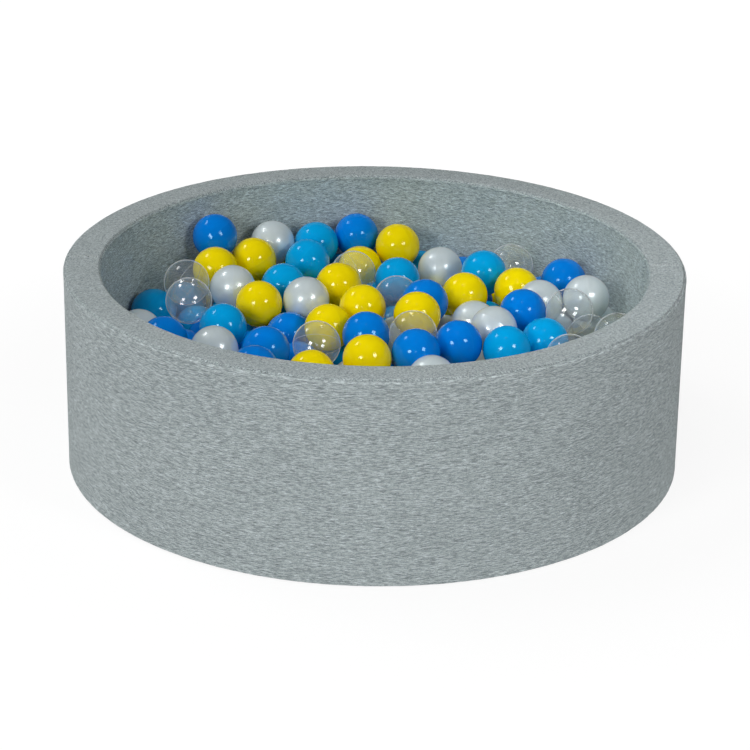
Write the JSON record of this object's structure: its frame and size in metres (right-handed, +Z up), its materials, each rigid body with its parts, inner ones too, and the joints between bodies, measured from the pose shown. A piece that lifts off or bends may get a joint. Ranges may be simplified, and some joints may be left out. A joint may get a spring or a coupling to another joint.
{
  "type": "ball pit",
  "caption": "Round foam-walled ball pit in a fitted jersey cover with a zip, filled with loose hollow play balls.",
  "frame": {"origin": "middle of the underside, on the floor", "axes": "+Z up, the side seen in the picture faces -Y, +X to its right"},
  "size_m": [0.9036, 0.9065, 0.3016],
  "materials": {
    "jersey": "heathered grey cotton jersey",
    "foam": "open-cell foam",
    "tape": "woven zip tape",
    "chain": "coil zip chain",
    "metal": "satin zip metal",
    "blue": "smooth semi-gloss",
    "light_blue": "smooth semi-gloss",
    "yellow": "smooth semi-gloss",
    "white": "pearl",
    "clear": "clear gloss",
    "mixed": "smooth semi-gloss"
  },
  "bodies": {
    "pit": {"ball_09_white": "white", "ball_41_light_blue": "light_blue", "ball_42_yellow": "yellow", "ball_43_yellow": "yellow", "balls_bottom_layer": "mixed", "balls_middle_layer": "mixed", "base_foam": "foam", "cover_base": "jersey", "cover_floor": "jersey", "cover_inner_wall": "jersey", "cover_outer_wall": "jersey", "cover_rim_back": "jersey", "cover_rim_front": "jersey", "wall_foam": "foam", "zip_chain": "chain", "zip_stop_left": "metal", "zip_stop_right": "metal", "zip_tape": "tape"},
    "zip_slider": {"zip_slider": "metal"},
    "zip_pull": {"zip_pull": "metal"},
    "ball_01_blue": {"ball_01_blue": "blue"},
    "ball_02_white": {"ball_02_white": "white"},
    "ball_03_light_blue": {"ball_03_light_blue": "light_blue"},
    "ball_04_light_blue": {"ball_04_light_blue": "light_blue"},
    "ball_05_blue": {"ball_05_blue": "blue"},
    "ball_06_light_blue": {"ball_06_light_blue": "light_blue"},
    "ball_07_clear": {"ball_07_clear": "clear"},
    "ball_08_yellow": {"ball_08_yellow": "yellow"},
    "ball_10_clear": {"ball_10_clear": "clear"},
    "ball_11_clear": {"ball_11_clear": "clear"},
    "ball_12_yellow": {"ball_12_yellow": "yellow"},
    "ball_13_white": {"ball_13_white": "white"},
    "ball_14_blue": {"ball_14_blue": "blue"},
    "ball_15_light_blue": {"ball_15_light_blue": "light_blue"},
    "ball_16_white": {"ball_16_white": "white"},
    "ball_17_blue": {"ball_17_blue": "blue"},
    "ball_18_blue": {"ball_18_blue": "blue"},
    "ball_19_clear": {"ball_19_clear": "clear"},
    "ball_20_yellow": {"ball_20_yellow": "yellow"},
    "ball_21_yellow": {"ball_21_yellow": "yellow"},
    "ball_22_yellow": {"ball_22_yellow": "yellow"},
    "ball_23_white": {"ball_23_white": "white"},
    "ball_24_light_blue": {"ball_24_light_blue": "light_blue"},
    "ball_25_yellow": {"ball_25_yellow": "yellow"},
    "ball_26_blue": {"ball_26_blue": "blue"},
    "ball_27_white": {"ball_27_white": "white"},
    "ball_28_blue": {"ball_28_blue": "blue"},
    "ball_29_clear": {"ball_29_clear": "clear"},
    "ball_30_light_blue": {"ball_30_light_blue": "light_blue"},
    "ball_31_blue": {"ball_31_blue": "blue"},
    "ball_32_yellow": {"ball_32_yellow": "yellow"},
    "ball_33_blue": {"ball_33_blue": "blue"},
    "ball_34_clear": {"ball_34_clear": "clear"},
    "ball_35_clear": {"ball_35_clear": "clear"},
    "ball_36_white": {"ball_36_white": "white"},
    "ball_37_clear": {"ball_37_clear": "clear"},
    "ball_38_blue": {"ball_38_blue": "blue"},
    "ball_39_yellow": {"ball_39_yellow": "yellow"},
    "ball_40_blue": {"ball_40_blue": "blue"}
  },
  "joints": [
    {"name": "zip_draw", "type": "hinge", "parent": "pit", "child": "zip_slider", "pos_m": [0, 0, 0], "axis": [0, 0, 1], "range_deg": [-126, 0]},
    {"name": "zip_pull_turn", "type": "hinge", "parent": "zip_slider", "child": "zip_pull", "pos_m": [-0.39712, 0.22928, 0.024], "axis": [0, 0, 1], "range_deg": [0, 180]},
    {"name": "lift_01_blue", "type": "slide", "parent": "pit", "child": "ball_01_blue", "axis": [0, 0, 1], "range_m": [0, 0.25]},
    {"name": "lift_02_white", "type": "slide", "parent": "pit", "child": "ball_02_white", "axis": [0, 0, 1], "range_m": [0, 0.25]},
    {"name": "lift_03_light_blue", "type": "slide", "parent": "pit", "child": "ball_03_light_blue", "axis": [0, 0, 1], "range_m": [0, 0.25]},
    {"name": "lift_04_light_blue", "type": "slide", "parent": "pit", "child": "ball_04_light_blue", "axis": [0, 0, 1], "range_m": [0, 0.25]},
    {"name": "lift_05_blue", "type": "slide", "parent": "pit", "child": "ball_05_blue", "axis": [0, 0, 1], "range_m": [0, 0.25]},
    {"name": "lift_06_light_blue", "type": "slide", "parent": "pit", "child": "ball_06_light_blue", "axis": [0, 0, 1], "range_m": [0, 0.25]},
    {"name": "lift_07_clear", "type": "slide", "parent": "pit", "child": "ball_07_clear", "axis": [0, 0, 1], "range_m": [0, 0.25]},
    {"name": "lift_08_yellow", "type": "slide", "parent": "pit", "child": "ball_08_yellow", "axis": [0, 0, 1], "range_m": [0, 0.25]},
    {"name": "lift_10_clear", "type": "slide", "parent": "pit", "child": "ball_10_clear", "axis": [0, 0, 1], "range_m": [0, 0.25]},
    {"name": "lift_11_clear", "type": "slide", "parent": "pit", "child": "ball_11_clear", "axis": [0, 0, 1], "range_m": [0, 0.25]},
    {"name": "lift_12_yellow", "type": "slide", "parent": "pit", "child": "ball_12_yellow", "axis": [0, 0, 1], "range_m": [0, 0.25]},
    {"name": "lift_13_white", "type": "slide", "parent": "pit", "child": "ball_13_white", "axis": [0, 0, 1], "range_m": [0, 0.25]},
    {"name": "lift_14_blue", "type": "slide", "parent": "pit", "child": "ball_14_blue", "axis": [0, 0, 1], "range_m": [0, 0.25]},
    {"name": "lift_15_light_blue", "type": "slide", "parent": "pit", "child": "ball_15_light_blue", "axis": [0, 0, 1], "range_m": [0, 0.25]},
    {"name": "lift_16_white", "type": "slide", "parent": "pit", "child": "ball_16_white", "axis": [0, 0, 1], "range_m": [0, 0.25]},
    {"name": "lift_17_blue", "type": "slide", "parent": "pit", "child": "ball_17_blue", "axis": [0, 0, 1], "range_m": [0, 0.25]},
    {"name": "lift_18_blue", "type": "slide", "parent": "pit", "child": "ball_18_blue", "axis": [0, 0, 1], "range_m": [0, 0.25]},
    {"name": "lift_19_clear", "type": "slide", "parent": "pit", "child": "ball_19_clear", "axis": [0, 0, 1], "range_m": [0, 0.25]},
    {"name": "lift_20_yellow", "type": "slide", "parent": "pit", "child": "ball_20_yellow", "axis": [0, 0, 1], "range_m": [0, 0.25]},
    {"name": "lift_21_yellow", "type": "slide", "parent": "pit", "child": "ball_21_yellow", "axis": [0, 0, 1], "range_m": [0, 0.25]},
    {"name": "lift_22_yellow", "type": "slide", "parent": "pit", "child": "ball_22_yellow", "axis": [0, 0, 1], "range_m": [0, 0.25]},
    {"name": "lift_23_white", "type": "slide", "parent": "pit", "child": "ball_23_white", "axis": [0, 0, 1], "range_m": [0, 0.25]},
    {"name": "lift_24_light_blue", "type": "slide", "parent": "pit", "child": "ball_24_light_blue", "axis": [0, 0, 1], "range_m": [0, 0.25]},
    {"name": "lift_25_yellow", "type": "slide", "parent": "pit", "child": "ball_25_yellow", "axis": [0, 0, 1], "range_m": [0, 0.25]},
    {"name": "lift_26_blue", "type": "slide", "parent": "pit", "child": "ball_26_blue", "axis": [0, 0, 1], "range_m": [0, 0.25]},
    {"name": "lift_27_white", "type": "slide", "parent": "pit", "child": "ball_27_white", "axis": [0, 0, 1], "range_m": [0, 0.25]},
    {"name": "lift_28_blue", "type": "slide", "parent": "pit", "child": "ball_28_blue", "axis": [0, 0, 1], "range_m": [0, 0.25]},
    {"name": "lift_29_clear", "type": "slide", "parent": "pit", "child": "ball_29_clear", "axis": [0, 0, 1], "range_m": [0, 0.25]},
    {"name": "lift_30_light_blue", "type": "slide", "parent": "pit", "child": "ball_30_light_blue", "axis": [0, 0, 1], "range_m": [0, 0.25]},
    {"name": "lift_31_blue", "type": "slide", "parent": "pit", "child": "ball_31_blue", "axis": [0, 0, 1], "range_m": [0, 0.25]},
    {"name": "lift_32_yellow", "type": "slide", "parent": "pit", "child": "ball_32_yellow", "axis": [0, 0, 1], "range_m": [0, 0.25]},
    {"name": "lift_33_blue", "type": "slide", "parent": "pit", "child": "ball_33_blue", "axis": [0, 0, 1], "range_m": [0, 0.25]},
    {"name": "lift_34_clear", "type": "slide", "parent": "pit", "child": "ball_34_clear", "axis": [0, 0, 1], "range_m": [0, 0.25]},
    {"name": "lift_35_clear", "type": "slide", "parent": "pit", "child": "ball_35_clear", "axis": [0, 0, 1], "range_m": [0, 0.25]},
    {"name": "lift_36_white", "type": "slide", "parent": "pit", "child": "ball_36_white", "axis": [0, 0, 1], "range_m": [0, 0.25]},
    {"name": "lift_37_clear", "type": "slide", "parent": "pit", "child": "ball_37_clear", "axis": [0, 0, 1], "range_m": [0, 0.25]},
    {"name": "lift_38_blue", "type": "slide", "parent": "pit", "child": "ball_38_blue", "axis": [0, 0, 1], "range_m": [0, 0.25]},
    {"name": "lift_39_yellow", "type": "slide", "parent": "pit", "child": "ball_39_yellow", "axis": [0, 0, 1], "range_m": [0, 0.25]},
    {"name": "lift_40_blue", "type": "slide", "parent": "pit", "child": "ball_40_blue", "axis": [0, 0, 1], "range_m": [0, 0.25]}
  ]
}
